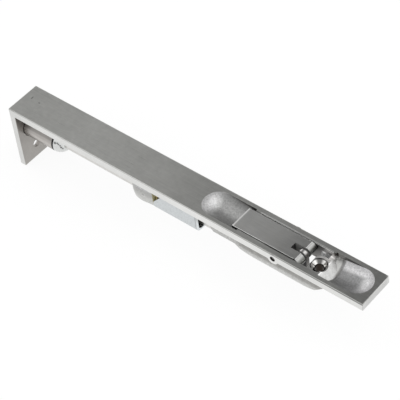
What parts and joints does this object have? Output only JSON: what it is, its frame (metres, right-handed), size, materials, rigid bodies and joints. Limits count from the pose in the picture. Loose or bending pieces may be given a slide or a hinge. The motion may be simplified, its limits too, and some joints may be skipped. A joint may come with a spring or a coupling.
{
  "type": "door bolt",
  "caption": "Lever flush bolt for the edge of a door: a lever folded into the faceplate drives a round bolt through the toe by a link and a rod.",
  "frame": {"origin": "centre of the mouth of the toe's bolt hole, on the bolt's axis, in the toe's outer face", "axes": "+X runs along the faceplate from the toe to its far end, +Y across the faceplate, +Z out of the door's edge"},
  "size_m": [0.203, 0.019, 0.0365],
  "materials": {
    "casting": "satin brushed face, cast inside",
    "channel": "zinc plated",
    "leaf": "dark bronze",
    "bush": "turned",
    "pins": "ground",
    "lever": "satin brushed, polished bevels",
    "link": "polished",
    "clevis": "turned and milled",
    "nut": "zinc plated",
    "rod": "drawn bright",
    "collar": "turned bright",
    "bolt": "turned bright"
  },
  "bodies": {
    "case": {"faceplate_casting": "casting", "guide_channel": "channel", "spring_leaf": "leaf", "rod_bush": "bush", "lever_pivot_pin": "pins"},
    "lever": {"lever": "lever", "crank_pin": "pins"},
    "link": {"link": "link"},
    "bolt": {"bolt": "bolt", "bolt_collar": "collar", "connecting_rod": "rod", "clevis_lock_nut": "nut", "rod_clevis": "clevis", "clevis_pin": "pins"}
  },
  "joints": [
    {"name": "lever_swing", "type": "hinge", "parent": "case", "child": "lever", "pos_m": [0.156, 0, 0.01294], "axis": [0, 1, 0], "range_deg": [0, 172]},
    {"name": "link_swing", "type": "hinge", "parent": "lever", "child": "link", "pos_m": [0.165, 0, 0.01294], "axis": [0, 1, 0], "range_deg": [-168.5, 0]},
    {"name": "bolt_throw", "type": "slide", "parent": "case", "child": "bolt", "axis": [-1, 0, 0], "range_m": [0, 0.0188]}
  ],
  "couplings": [
    {"joint": "lever_swing", "follows": "bolt_throw", "rad_per_m": 159.67},
    {"joint": "link_swing", "follows": "bolt_throw", "rad_per_m": -155.85}
  ]
}
